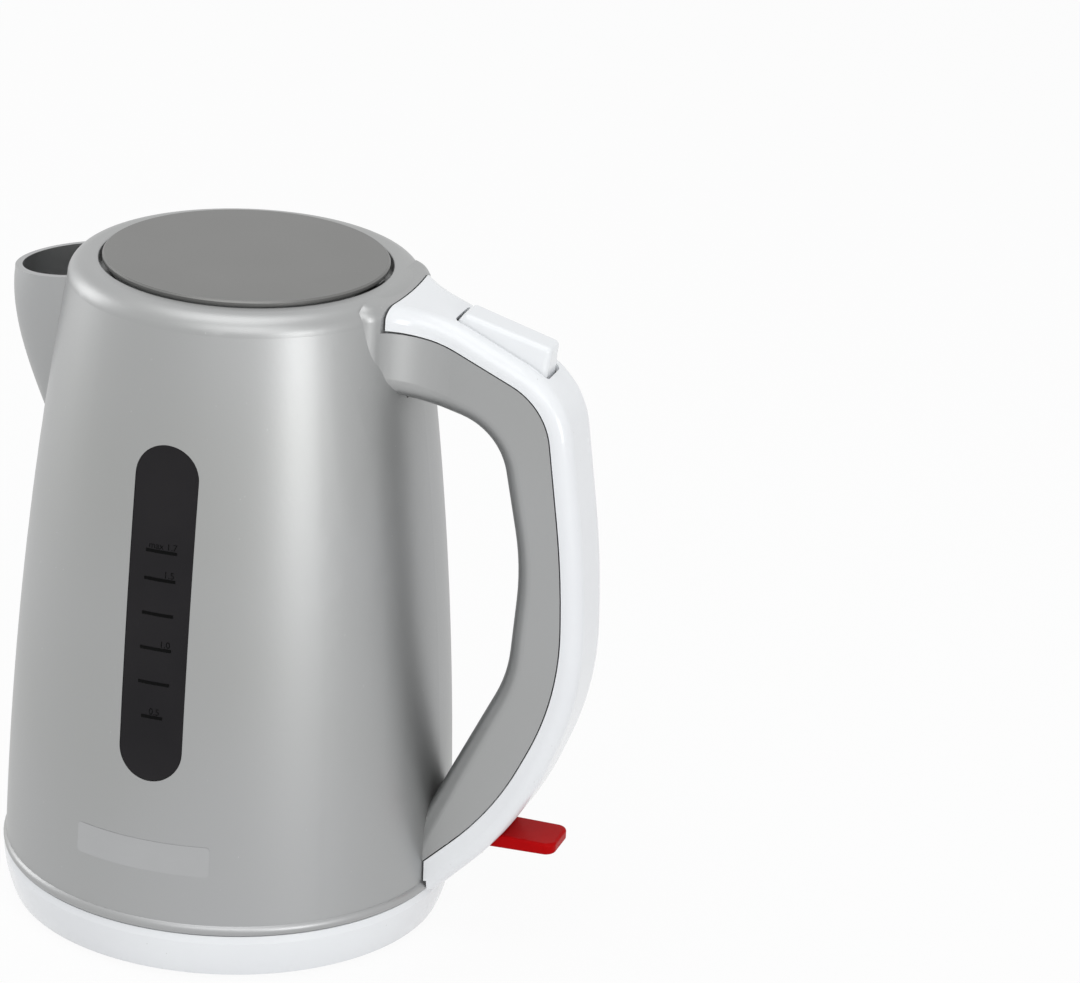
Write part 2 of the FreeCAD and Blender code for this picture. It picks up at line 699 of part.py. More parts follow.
outer_up = (outer_corners[1] - pivot).dot(rise)
button_start = (outer_corners[1] - pivot).dot(slope) - size.slope_out + size.button_front
button_end = button_start + size.button_length
slider_up = size.slider_thick / 2
slider_nose = size.cam_radius + size.slider_gap
slider_tail = slider_nose + size.slider_length
shelf_top = slider_up + size.slider_gap + size.shelf_thick
button_seat_along = (size.guide_first + size.guide_second + size.guide_thick) / 2
stem_front = size.guide_second + size.guide_thick + size.stem_room


pocket_half = half_grip - size.pocket_side
rib_pitch = 2 * (pocket_half - size.rib_side - size.rib_thick / 2) / (RIBS - 1)
button_front_half = half_grip - size.button_front_side
button_rear_half = half_grip - size.button_rear_side
hinge_pin_half = half_grip + size.hinge_pin_over
lever_half = half_grip - size.lever_side
lever_place = outer_corners[5] - X_AXIS * size.lever_inset - Z_AXIS * size.lever_below


def swing_point(radius, degrees):
    """A point about the hinge pin, degrees from +X towards +Z."""
    angle = math.radians(degrees)
    return pivot + X_AXIS * (radius * math.cos(angle)) + Z_AXIS * (radius * math.sin(angle))


def swing_sector(inner, outer, start, end):
    """A sector of the side view about the hinge pin."""
    middle = (start + end) / 2
    edges = [
        arc(swing_point(inner, start), swing_point(inner, middle), swing_point(inner, end)),
        line(swing_point(inner, end), swing_point(outer, end)),
        arc(swing_point(outer, end), swing_point(outer, middle), swing_point(outer, start)),
        line(swing_point(outer, start), swing_point(inner, start)),
    ]
    return plate(edges)


def window_slot(margin, side):
    """A round-ended prism that runs out through one side of the wall."""
    half = size.window_width / 2 + margin
    low = size.window_bottom + size.window_width / 2
    high = crest - size.window_drop - size.window_width / 2
    bar = block(Vector(-half, 0, low), Vector(half, FAR / 2, high))
    for level in (low, high):
        bar = bar.fuse(Part.makeCylinder(half, FAR / 2, Vector(0, 0, level), Y_AXIS))
    bar = bar.removeSplitter()
    if side < 0:
        bar = bar.mirror(ORIGIN, Y_AXIS)
    return bar


def body_shell():
    """Cup, shoulder, spout and the handle's channel, in one moulding."""
    core = body_solid(size.body_wall / 2)
    below_pan = block(Vector(-FAR, -FAR, -FAR), Vector(FAR, FAR, seam))
    handle = channel_outside(0)
    handle = handle.cut([outside_of(cover_path(0)), channel_outside(size.channel_wall)])
    handle = handle.fuse([guides(), ears(), collar()])
    handle = handle.cut([core, below_pan])
    spout = spout_loft(0).cut([spout_loft(size.spout_wall), core, above_spout_rim()])
    shell = cup().fuse([handle, spout])
    pin_hole = rod(pivot, size.hinge_pin_radius + size.pin_seat_clearance,
                   hinge_pin_half + size.spring_seat_gap)
    return shell.cut([pocket(), window_slot(0, -1), window_slot(0, 1), pin_hole]).removeSplitter()


def cover_front(gap):
    """Everything in front of the cover's front edge, moved towards the mouth by a gap."""
    centre = Vector(top_wall - size.cover_front_inset - gap - size.cover_front_round, 0, 0)
    return Part.makeCylinder(size.cover_front_round, FAR, centre)


def collar():
    """The silver shoulder in front of the cover's front edge, level with the cover's outside."""
    whole = handle_solid(0, outer_path(0), finger_path(0), collar_flare, size.cover_edge_round)
    return whole.common(outside_of(cover_path(0))).common(cover_front(size.seam_gap))


def pocket():
    """The opening in the wall that the hinge ribs swing through, and the notch in the ledge."""
    opening = block(
        Vector(mouth_radius + size.body_wall + STEP_OVER / 5, -pocket_half,
               crest - size.pocket_bottom_drop),
        Vector(pivot.x + size.barrel_radius + STEP_OVER, pocket_half,
               crest - size.pocket_top_drop))
    notch = block(Vector(0, -pocket_half, ledge_level - 2 * size.body_wall),
                  Vector(FAR, pocket_half, ledge_level + size.mouth_round))
    notch = notch.common(Part.makeCylinder(mouth_radius, FAR, ORIGIN))
    notch = notch.cut(Part.makeCylinder(ledge_radius - size.ledge_width, FAR, ORIGIN))
    return opening.fuse(notch)


def ears():
    """Two bosses in the root that hold the hinge pin, tied to the root's side walls."""
    made = []
    near = pocket_half + size.ear_gap / 2
    far = half_grip + size.channel_wall
    for side in (-1, 1):
        centre = pivot + Y_AXIS * (side * (near + far) / 2)
        made.append(rod(centre, size.ear_radius, (far - near) / 2))
    return made[0].fuse(made[1]).cut(outside_of(cover_path(0)))


def guides():
    """Cross ribs in the channel that guide the bolt, the spring's shelf and the bolt's stop."""
    half = half_grip - size.channel_wall / 2
    depth = size.root_depth
    top = outer_up - size.cover_depth - size.seam_gap - size.tongue_height
    ribs = []
    for along in (size.guide_first, size.guide_second):
        ribs.append(slope_box(along, along + size.guide_thick, half, -depth, top))
    shelf_low = slider_up + size.slider_gap
    ribs.append(slope_box(size.guide_first, size.guide_second + size.guide_thick, half,
                          shelf_low, shelf_low + size.shelf_thick))
    ribs.append(slope_box(size.stop_from_pin, size.stop_from_pin + size.guide_thick, half,
                          -depth, slider_up + size.slider_gap))
    made = ribs[0].fuse(ribs[1:])
    room = slope_box(0, size.stop_from_pin - STEP_OVER, size.slider_half + size.slider_gap,
                     -slider_up - size.slider_gap, slider_up + size.slider_gap)
    made = made.cut(room)
    return made.common(channel_outside(size.channel_wall / 2)).cut(outside_of(cover_path(0)))


def cover_solid():
    """The cover's own zone, filled solid, clear of the body by the seam's gap."""
    zone = cover_outside(0).common(outside_of(cover_path(-size.seam_gap)))
    seat = block(Vector(-FAR, -FAR, -FAR), Vector(FAR, FAR, seam))
    bead_ring = Part.makeCylinder(size.body_base_radius + size.bead_proud + size.seam_gap,
                                  wall_foot.z + size.bead_height / 2 + size.seam_gap)
    return zone.cut([body_solid(-size.seam_gap), seat, cover_front(0), bead_ring])


def tongue_band(half, inner_half):
    """A pair of side strips along the seam: their root in the cover, their tip in the channel."""
    strip = between(cover_path(-size.cover_wall), cover_path(size.tongue_height))
    return across(strip, half).cut(across(strip, inner_half))


def handle_cover():
    """White shell over the handle, with slots for the button and the lever."""
    shell = cover_solid().cut(cover_outside(size.cover_wall))
    outer_side = half_grip - size.channel_wall - size.tongue_clearance
    inner_side = outer_side - size.tongue_thick
    tongue = tongue_band(outer_side, inner_side)
    bridge = across(between(cover_path(-size.cover_wall), cover_path(-size.seam_gap)),
                    half_grip - size.cover_wall / 2)
    bridge = bridge.cut(across(between(cover_path(-size.cover_wall), cover_path(0)), inner_side))
    keep = block(Vector(flare_end, -FAR, outer_corners[5].z - size.heel_depth / 4), Vector(FAR, FAR, crest))
    tongue = tongue.fuse(bridge).common(keep)
    rib_slots = []
    for start, end in ((size.guide_first, size.guide_second), (size.stop_from_pin, size.stop_from_pin)):
        clear = size.slider_gap
        rib_slots.append(slope_box(start - clear, end + size.guide_thick + clear, half_grip,
                                   -size.root_depth, outer_up - size.cover_root_depth + size.seam_gap))
    tongue = tongue.cut(rib_slots)
    inside_parts = trunnion_ears().fuse(lever_ears()).common(cover_solid())
    shell = shell.fuse([tongue, inside_parts])
    trunnion_hole = rod(trunnion_axis(), size.trunnion_radius + size.running_clearance,
                        half_grip - size.cover_wall)
    lever_hole = rod(lever_place, size.lever_pin_radius + size.pin_seat_clearance,
                     half_grip - size.cover_wall / 2)
    return shell.cut([button_slot(), trunnion_hole, lever_hole, lever_slot()]).removeSplitter()


def trunnion_axis():
    return on_slope(button_start + size.trunnion_back, outer_up - size.trunnion_sink)


def trunnion_ears():
    """Two ears under the cover that carry the button's trunnions."""
    made = []
    inner = button_front_half + size.button_gap
    outer = half_grip - size.cover_wall / 2
    reach = size.trunnion_radius + size.running_clearance + size.cover_wall
    axis_along = button_start + size.trunnion_back
    low = outer_up - size.cover_root_depth + size.seam_gap
    for side in (-1, 1):
        ear = slope_box(axis_along - reach, axis_along + reach, (outer - inner) / 2,
                        low, outer_up - size.cover_wall / 2)
        ear.translate(Y_AXIS * (side * (outer + inner) / 2))
        made.append(ear)
    return made[0].fuse(made[1])


def button_slot():
    """The tapered slot that the button stands in, square to the slope."""
    front = button_front_half
    rear = button_rear_half
    foot = outer_up - size.cover_root_depth - size.tongue_height
    points = [
        on_slope(button_start, foot, -front),
        on_slope(button_end, foot, -rear),
        on_slope(button_end, foot, rear),
        on_slope(button_start, foot, front),
    ]
    slot = polygon(points).extrude(rise * size.root_depth)
    upright = [edge for edge in slot.Edges if edge.tangentAt(edge.FirstParameter).cross(rise).Length < TINY]
    return slot.makeFillet(size.button_round, upright)


def lever_ears():
    """Bosses inside the cover's side walls that hold the lever's pin."""
    made = []
    inner = lever_half + size.lever_slot_gap
    outer = half_grip - size.cover_wall / 2
    for side in (-1, 1):
        centre = lever_place + Y_AXIS * (side * (inner + outer) / 2)
        made.append(rod(centre, size.lever_hub_radius, (outer - inner) / 2))
    return made[0].fuse(made[1])


def lever_slot():
    """The slot in the cover that the lever comes out of, with room for its stroke."""
    axis = lever_place
    half = lever_half + size.lever_slot_gap
    low = axis.z - size.lever_thick / 2 - size.lever_drop
    high = axis.z + size.lever_thick / 2 + size.lever_slot_gap
    return block(Vector(axis.x, -half, low), Vector(FAR, half, high))


# lid

lid_top = crest + size.lid_rise
disc_bottom = lid_top - size.disc_thick
lid_seat = ledge_level + size.lid_seat_gap


def lid_base():
    """Lid underside: plate with two beads, gooseneck ribs, arms, barrel and catch."""
    plate_bottom = disc_bottom - size.lid_plate
    seat_radius = mouth_radius - size.lid_seat_inset
    seat_inner = seat_radius - size.lid_rim_wall
    bead_radius = mouth_radius - size.lid_bead_inset
    bead_half = size.lid_rim_wall / 2
    section = [
        xz(0, disc_bottom),
        xz(mouth_radius - size.lid_rim_gap, disc_bottom),
        xz(seat_radius, lid_seat),
        xz(seat_inner, lid_seat),
        xz(seat_inner, plate_bottom),
        xz(bead_radius + bead_half, plate_bottom),
        xz(bead_radius + bead_half / 2, plate_bottom - bead_half),
        xz(bead_radius - bead_half / 2, plate_bottom - bead_half),
        xz(bead_radius - bead_half, plate_bottom),
        xz(0, plate_bottom),
    ]
    made = turned(polygon(section))
    ribs = []
    web_half = rib_pitch * (RIBS - 1) / 2 + size.rib_thick / 2
    web = across(swing_sector(size.rib_inner, size.rib_inner + size.rib_web, size.rib_start, size.rib_end), web_half)
    ribs.append(web.common(block(Vector(0, -FAR, 0), Vector(FAR, FAR, disc_bottom - TINY))))
    rib_face = swing_sector(size.rib_inner, size.rib_outer, size.rib_start, size.rib_end)
    arm_face = swing_sector(size.barrel_radius / 2, size.rib_inner + size.rib_web, size.rib_end - size.arm_spread, size.rib_end)
    root = swing_point(size.rib_outer, size.rib_start)
    tip_face = polygon([
        xz(root.x + size.rib_web, plate_bottom + size.lid_plate / 2),
        xz(root.x + size.rib_web, root.z - size.rib_flare_length / 4),
        swing_point(size.rib_outer, size.rib_tip),
        xz(root.x - size.rib_flare_length, plate_bottom),
        xz(root.x - size.rib_flare_length, plate_bottom + size.lid_plate / 2),
    ])
    for index in range(RIBS):
        y = (index - (RIBS - 1) / 2) * rib_pitch
        for face in (rib_face, arm_face, tip_face):
            rib = across(face, size.rib_thick / 2)
            rib.translate(Y_AXIS * y)
            ribs.append(rib.common(block(Vector(0, -FAR, 0), Vector(FAR, FAR, disc_bottom - TINY))))
    barrel = rod(pivot, size.barrel_radius, web_half)
    catch = across(swing_sector(size.barrel_radius / 2, size.cam_radius, -SLOPE_ANGLE - size.cam_spread,
                                size.cam_spread - SLOPE_ANGLE), size.cam_half)
    made = made.fuse(ribs + [barrel, catch])
    bore = rod(pivot, size.hinge_pin_radius + size.running_clearance, web_half + STEP_OVER)
    spring_room = rod(pivot + Y_AXIS * rib_pitch, size.barrel_radius + STEP_OVER,
                      (rib_pitch - size.rib_thick) / 2)
    return made.cut(bore).cut(spring_room).removeSplitter()


def coil(radius, pitch, length, start, axis):
    """A round wire wound about an axis from a point."""
    turns = length / pitch
    count = int(turns * COIL_POINTS)
    points = []
    for step in range(count + 1):
        angle = 2 * math.pi * turns * step / count
        points.append(Vector(radius * math.cos(angle), radius * math.sin(angle), length * step / count))
    curve = Part.BSplineCurve()
    curve.interpolate(points)
    wire = curve.toShape()
    ring = Part.Wire(Part.makeCircle(size.spring_wire / 2, points[0], wire.tangentAt(wire.FirstParameter)))
    made = Part.Wire(wire).makePipeShell([ring], True, True)
    made.Placement = Placement(start, Rotation(Z_AXIS, axis))
    return made


def lid_spring():
    """Torsion spring on the hinge pin, between two ribs."""
    room = rib_pitch - size.rib_thick - 2 * size.spring_seat_gap
    length = room - size.spring_wire
    start = pivot + Y_AXIS * (rib_pitch - length / 2)
    return coil(size.lid_spring_radius, size.spring_wire * size.coil_spacing, length, start, Y_AXIS)


def coil_spring(radius, start, end):
    """A compression spring from one seat to the other."""
    axis = (end - start).normalize()
    length = (end - start).Length - size.spring_wire - 2 * size.spring_seat_gap
    first = start + axis * (size.spring_wire / 2 + size.spring_seat_gap)
    return coil(radius, size.spring_wire * size.coil_open_spacing, length, first, axis)


# button and bolt

def button_block(inset, low_up):
    """The button filled solid: a tapered foot drawn up to a narrower, rising top."""
    gap = size.button_gap + inset
    front = button_start + gap
    rear = button_end - gap
    half_front = button_front_half - gap
    half_rear = button_rear_half - gap
    lean = size.button_draft
    rear_lean = size.button_rear_lean
    foot = [
        on_slope(front, low_up, -half_front),
        on_slope(rear, low_up, -half_rear),
        on_slope(rear, low_up, half_rear),
        on_slope(front, low_up, half_front),
    ]
    top_front = outer_up + size.button_front_proud - inset
    top_rear = outer_up + size.button_rear_proud - inset
    top = [
        on_slope(front + lean, top_front, -half_front + lean),
        on_slope(rear - rear_lean, top_rear, -half_rear + lean),
        on_slope(rear - rear_lean, top_rear, half_rear - lean),
        on_slope(front + lean, top_front, half_front - lean),
    ]
    return Part.makeLoft([Part.makePolygon(foot + [foot[0]]), Part.makePolygon(top + [top[0]])], True, True)


def lid_release_button():
    """The raised white button, with trunnions in front and a foot that works the bolt."""
    foot_up = outer_up - size.button_sink
    made = button_block(0, foot_up)
    upper = []
    for edge in made.Edges:
        middle = edge.valueAt((edge.FirstParameter + edge.LastParameter) / 2)
        if (middle - pivot).dot(rise) > foot_up + size.button_wall / 4:
            upper.append(edge)
    made = made.makeFillet(size.button_round, upper)
    room = button_block(size.button_wall, foot_up - STEP_OVER)
    made = made.cut(room)
    reach = size.trunnion_radius + size.running_clearance + size.cover_wall / 2
    axis_along = button_start + size.trunnion_back
    hub_half = button_front_half - size.button_gap
    hub = slope_box(axis_along - size.trunnion_radius, axis_along + size.trunnion_radius,
                    hub_half - size.button_draft, outer_up - size.trunnion_sink, foot_up + size.button_wall)
    shaft = rod(trunnion_axis(), size.trunnion_radius, half_grip - size.cover_wall - size.button_gap)
    seat = slope_box(button_seat_along - reach, stem_front + size.stem_tip + 2 * slider_up,
                     button_rear_half - size.button_gap - size.button_draft,
                     foot_up, foot_up + size.button_wall)
    tip = slider_up - size.stem_sink
    knee = stem_front + size.stem_tip + 2 * slider_up
    stem_face = polygon([
        on_slope(stem_front, tip),
        on_slope(stem_front + size.stem_tip, tip),
        on_slope(knee, tip + 2 * slider_up),
        on_slope(knee, foot_up + size.button_wall),
        on_slope(stem_front, foot_up + size.button_wall),
    ])
    stem = across(stem_face, size.stem_half)
    return made.fuse([hub, shaft, seat, stem]).removeSplitter()


def latch_slider():
    """The bolt: a nose at the catch, and a window with the sloping face that the stem pushes."""
    side = polygon([
        on_slope(slider_nose, -slider_up / 2),
        on_slope(slider_nose + slider_up / 2, -slider_up),
        on_slope(slider_tail, -slider_up),
        on_slope(slider_tail, slider_up),
        on_slope(slider_nose + slider_up / 2, slider_up),
        on_slope(slider_nose, slider_up / 2),
    ])
    ramp_tip = stem_front + size.stem_tip + size.ramp_gap - (2 * slider_up - size.stem_sink)
    window = polygon([
        on_slope(stem_front - size.window_room, -slider_up - STEP_OVER),
        on_slope(ramp_tip - STEP_OVER, -slider_up - STEP_OVER),
        on_slope(ramp_tip + 2 * slider_up + STEP_OVER, slider_up + STEP_OVER),
        on_slope(stem_front - size.window_room, slider_up + STEP_OVER),
    ])
    return across(side, size.slider_half).cut(across(window, size.slider_window_half))


def mirrored(shape):
    return shape.mirror(ORIGIN, Y_AXIS)


def level_window(side):
    """A smoke clear insert: a pad that fills the slot, on a flange behind the wall."""
    pad = wall_skin(size.window_recess, size.body_wall + size.window_flange_thick, 0, crest)
    pad = pad.common(window_slot(-size.window_clearance, side))
    flange = wall_skin(size.body_wall + size.window_clearance,
                       size.body_wall + size.window_flange_thick, 0, crest)
    flange = flange.common(window_slot(size.window_flange, side))
    return pad.fuse(flange).removeSplitter()


def level_marks(side):
    """The printed bars of the level scale, on the window's face."""
    outside = size.window_recess - size.print_gap - size.print_thick
    skin = wall_skin(outside, size.window_recess - size.print_gap, 0, crest)
    first = size.window_bottom + size.mark_first
    highest = crest - size.window_drop - size.mark_max
    pitch = (highest - size.mark_last_gap - first) / (MARKS - 1)
    levels = [(first, size.mark_short)]
    for step in range(1, MARKS):
        levels.append((first + step * pitch, size.mark_length))
    levels.append((highest, size.mark_length))
    bars = []
    for level, length in levels:
        half_high = size.mark_height / 2
        low = Vector(-length / 2, 0, level - half_high)
        high = Vector(length / 2, FAR / 2, level + half_high)
        bars.append(skin.common(block(low, high)))
    shape = Part.makeCompound(bars)
    return mirrored(shape) if side < 0 else shape


def clear_label():
    """The bare clear sticker, low on the near side of the wall."""
    skin = wall_skin(-size.print_gap - size.print_thick, -size.print_gap,
                     size.label_level - size.label_height / 2, size.label_level + size.label_height / 2)
    cut = block(Vector(-size.label_length / 2, -FAR / 2, 0), Vector(size.label_length / 2, 0, crest))
    label = skin.common(cut)
    label.rotate(ORIGIN, Z_AXIS, size.label_turn)
    return label


# base: white pan, black floor of the cup, and screws

def pan_shape():
    """White pan: rounded foot, flared side, and a ring that enters the silver wall."""
    ring_outer = size.body_base_radius - size.body_wall - size.spigot_clearance
    ring_inner = ring_outer - size.spigot_wall
    top = size.base_height
    wide = top - size.pan_wide_drop
    low = size.pan_low_level
    pan_radius = base_wall + size.pan_proud
    pan_foot_radius = base_wall - size.pan_foot_inset
    pan_low_radius = base_wall - size.pan_low_inset
    side_middle = xz((pan_radius + pan_low_radius) / 2 + low / 3, (low + wide) / 2)
    edges = [
        line(xz(0, 0), xz(pan_foot_radius, 0)),
        line(xz(pan_foot_radius, 0), xz(pan_low_radius, low)),
        arc(xz(pan_low_radius, low), side_middle, xz(pan_radius, wide)),
        line(xz(pan_radius, wide), xz(pan_radius - size.seam_gap, top)),
        line(xz(pan_radius - size.seam_gap, top), xz(ring_outer, top)),
        line(xz(ring_outer, top), xz(ring_outer, top + size.spigot_height)),
        line(xz(ring_outer, top + size.spigot_height), xz(ring_inner, top + size.spigot_height)),
        line(xz(ring_inner, top + size.spigot_height), xz(ring_inner, top - size.pan_wall)),
        line(xz(ring_inner, top - size.pan_wall), xz(pan_low_radius - size.pan_wall, 2 * size.pan_wall)),
        line(xz(pan_low_radius - size.pan_wall, 2 * size.pan_wall),
             xz(pan_foot_radius - size.pan_wall, size.pan_wall)),
        line(xz(pan_foot_radius - size.pan_wall, size.pan_wall), xz(0, size.pan_wall)),
        line(xz(0, size.pan_wall), xz(0, 0)),
    ]
    return turned(plate(edges))


def screw_spots():
    spots = []
    circle = base_wall - size.screw_inset
    for index in range(SCREWS):
        angle = math.radians(FULL_TURN / SCREWS * index + size.screw_turn)
        spots.append(Vector(circle * math.cos(angle), circle * math.sin(angle), 0))
    return spots


def base_pan():
    made = pan_shape()
    head_top = size.screw_sink + size.screw_head_height
    well_radius = size.screw_head_radius + size.seam_gap
    for spot in screw_spots():
        well = Part.makeCylinder(well_radius + size.pan_wall, head_top + size.pan_wall, spot)
        hole = Part.makeCylinder(size.screw_radius + size.seam_gap, FAR / 4, spot)
        sink = Part.makeCylinder(well_radius, head_top, spot)
        made = made.fuse(well).cut(hole).cut(sink)
    return made.removeSplitter()


def inner_floor():
    """Black floor of the cup, with bosses that take the base's screws."""
    radius = size.body_base_radius - size.body_wall - size.floor_clearance
    made = Part.makeCylinder(radius, size.floor_thick, Vector(0, 0, floor_level))
    boss_bottom = size.screw_sink + size.screw_head_height + size.pan_wall + size.seam_gap
    for spot in screw_spots():
        start = spot + Z_AXIS * boss_bottom
        boss = Part.makeCylinder(size.boss_radius, floor_level - boss_bottom + STEP_OVER, start)
        hole = Part.makeCylinder(size.screw_radius + size.pin_seat_clearance,
                                 size.screw_length - size.pan_wall + STEP_OVER, start)
        made = made.fuse(boss).cut(hole)
    return made.removeSplitter()


def base_screws():
    made = []
    head_top = size.screw_sink + size.screw_head_height
    for spot in screw_spots():
        head = Part.makeCylinder(size.screw_head_radius, size.screw_head_height, spot + Z_AXIS * size.screw_sink)
        shank = Part.makeCylinder(size.screw_radius, size.screw_length, spot + Z_AXIS * head_top)
        low = spot + Z_AXIS * size.screw_sink
        corner = Vector(size.screw_slot_length / 2, size.screw_slot_width / 2, 0)
        slot = block(low - corner, low + corner + Z_AXIS * size.screw_slot_depth)
        cross = slot.copy()
        cross.rotate(spot, Z_AXIS, 90)
        made.append(head.fuse(shank).cut([slot, cross]))
    return Part.makeCompound(made)


def switch_lever():
    """Red lever: a hub on its pin and a flat tapering blade with a rounded tip."""
    axis = lever_place
    half_root = size.lever_thick / 2
    half_tip = size.lever_tip_thick / 2
    tip_x = axis.x + size.lever_reach
    side = polygon([
        axis - Z_AXIS * half_root,
        xz(tip_x, axis.z + half_root - 2 * half_tip),
        xz(tip_x, axis.z + half_root),
        axis + Z_AXIS * half_root,
    ])
    blade = across(side, lever_half)
    upright = []
    long_edges = []
    for edge in blade.Edges:
        box = edge.BoundBox
        if box.XMin > tip_x - TINY * 10 and box.ZLength > half_tip:
            upright.append(edge)
    blade = blade.makeFillet(size.lever_tip_round, upright)
    for edge in blade.Edges:
        box = edge.BoundBox
        middle = edge.valueAt((edge.FirstParameter + edge.LastParameter) / 2)
        if middle.x > axis.x + half_root and (box.XLength > half_tip or box.YLength > half_tip):
            long_edges.append(edge)
    blade = blade.makeFillet(size.lever_tip_thick / 4, long_edges)
    hub = rod(axis, size.lever_hub_radius, lever_half)
    bore = rod(axis, size.lever_pin_radius + size.running_clearance, FAR / 4)
    return blade.fuse(hub).cut(bore).removeSplitter()


# sub-parts

nodes = {
    "body_shell": body_shell(),
    "handle_cover": handle_cover(),
    "lid_base": lid_base(),
    "lid_spring": lid_spring(),
    "lid_release_button": lid_release_button(),
    "latch_slider": latch_slider(),
    "window_near": level_window(-1),
    "window_far": level_window(1),
    "level_marks_near": level_marks(-1),
    "level_marks_far": level_marks(1),
    "clear_label": clear_label(),
    "base_pan": base_pan(),
    "inner_floor": inner_floor(),
    "base_screws": base_screws(),
    "switch_lever": switch_lever(),
}
nodes["button_spring"] = coil_spring(size.button_spring_radius, on_slope(button_seat_along, shelf_top),
                                     on_slope(button_seat_along, outer_up - size.button_sink))
nodes["latch_spring"] = coil_spring(size.latch_spring_radius, on_slope(slider_tail, 0),
                                    on_slope(size.stop_from_pin, 0))
parts = [feature(name, shape) for name, shape in nodes.items()]

# turned pieces that stay primitives bound to the sheet

disc = doc.addObject("Part::Cylinder", "disc_blank")
disc.setExpression("Radius", "Sizes.body_top_radius - Sizes.mouth_inset - Sizes.disc_gap")
disc.setExpression("Height", "Sizes.disc_thick")
disc.setExpression("Placement.Base.z", "Sizes.shoulder_height + Sizes.lid_rise - Sizes.disc_thick")
doc.recompute()
top_disc = doc.addObject("Part::Chamfer", "lid_top_disc")
top_disc.Base = disc
rim_edges = [number for number, edge in enumerate(disc.Shape.Edges, start=1)
             if abs(edge.CenterOfMass.z - lid_top) < TINY * 100 and edge.Closed]
top_disc.Edges = [(number, size.disc_bevel, size.disc_bevel) for number in rim_edges]
top_disc.Label = "lid_top_disc"
parts.append(top_disc)


def bound_pin(name, radius, half, x_expression, z_expression):
    """A plain pin across the kettle, its size and place bound to the sheet."""
    pin = doc.addObject("Part::Cylinder", name)
    pin.Label = name
    pin.Placement = Placement(ORIGIN, Rotation(X_AXIS, 90))
    pin.setExpression("Radius", radius)
    pin.setExpression("Height", f"2 * ({half})")
    pin.setExpression("Placement.Base.x", x_expression)
    pin.setExpression("Placement.Base.y", half)
    pin.setExpression("Placement.Base.z", z_expression)
    parts.append(pin)


bound_pin("hinge_pin", "Sizes.hinge_pin_radius", "Sizes.grip_width / 2 + Sizes.hinge_pin_over",
          "Sizes.body_top_radius + Sizes.pivot_out", "Sizes.shoulder_height - Sizes.pivot_drop")
foot_level = "(Sizes.base_height + Sizes.seam_gap + Sizes.bead_height)"
heel_level = "Sizes.heel_share * Sizes.shoulder_height"
taper = (f"({heel_level} - {foot_level})"
         f" / (Sizes.shoulder_height - Sizes.shoulder_round - {foot_level})")
bound_pin("lever_pin", "Sizes.lever_pin_radius",
          "Sizes.grip_width / 2 - Sizes.cover_wall / 2 - Sizes.pin_seat_clearance",
          f"Sizes.body_base_radius + (Sizes.body_top_radius - Sizes.body_base_radius) * {taper}"
          " + Sizes.heel_out - Sizes.lever_inset",
          f"{heel_level} - Sizes.lever_below")

doc.recompute()
for item in doc.Objects:
    if "Invalid" in item.State or "Error" in item.State:
        raise RuntimeError(f"{item.Name} failed: {item.State}")
os.makedirs("parts", exist_ok=True)
for part in parts:
    shape = part.Shape
    if shape.isNull() or not shape.isValid():
        raise RuntimeError(f"{part.Label} has no valid shape")
    shape.exportStep(f"parts/{part.Label}.step")
    print(f"{part.Label}: {len(shape.Solids)} solid(s), {shape.Volume / 1000:.2f} cm3, {shape.BoundBox}")
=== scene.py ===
import math

import bpy
from mathutils import Matrix, Vector


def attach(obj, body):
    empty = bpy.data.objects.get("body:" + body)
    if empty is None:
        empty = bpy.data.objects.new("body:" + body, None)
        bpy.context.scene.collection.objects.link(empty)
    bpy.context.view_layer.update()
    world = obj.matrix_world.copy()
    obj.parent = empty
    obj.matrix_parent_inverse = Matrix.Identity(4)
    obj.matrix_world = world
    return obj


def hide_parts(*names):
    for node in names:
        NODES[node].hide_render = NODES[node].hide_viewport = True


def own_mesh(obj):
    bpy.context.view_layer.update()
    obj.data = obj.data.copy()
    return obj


# Looks of the toy kettle. Metres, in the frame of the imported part:
# +Z up, +X to the handle, -X to the spout, -Y to the near level window.

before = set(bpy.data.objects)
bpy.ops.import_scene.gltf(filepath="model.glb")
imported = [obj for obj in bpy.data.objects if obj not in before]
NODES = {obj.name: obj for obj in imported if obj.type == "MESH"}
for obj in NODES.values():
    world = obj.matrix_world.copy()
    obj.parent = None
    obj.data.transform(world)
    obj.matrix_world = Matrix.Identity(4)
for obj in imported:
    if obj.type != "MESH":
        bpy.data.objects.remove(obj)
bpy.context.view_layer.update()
MM = 0.001

# wall of the cup: outer radius as a polynomial of the height
WALL_FOOT = 20 * MM
WALL_SPAN = 150 * MM
WALL_TERMS = (66.6 * MM, -3.005 * MM, -6.477 * MM, -2.255 * MM)
HALF_WALL = 1.1 * MM
LEDGE = 194.6 * MM

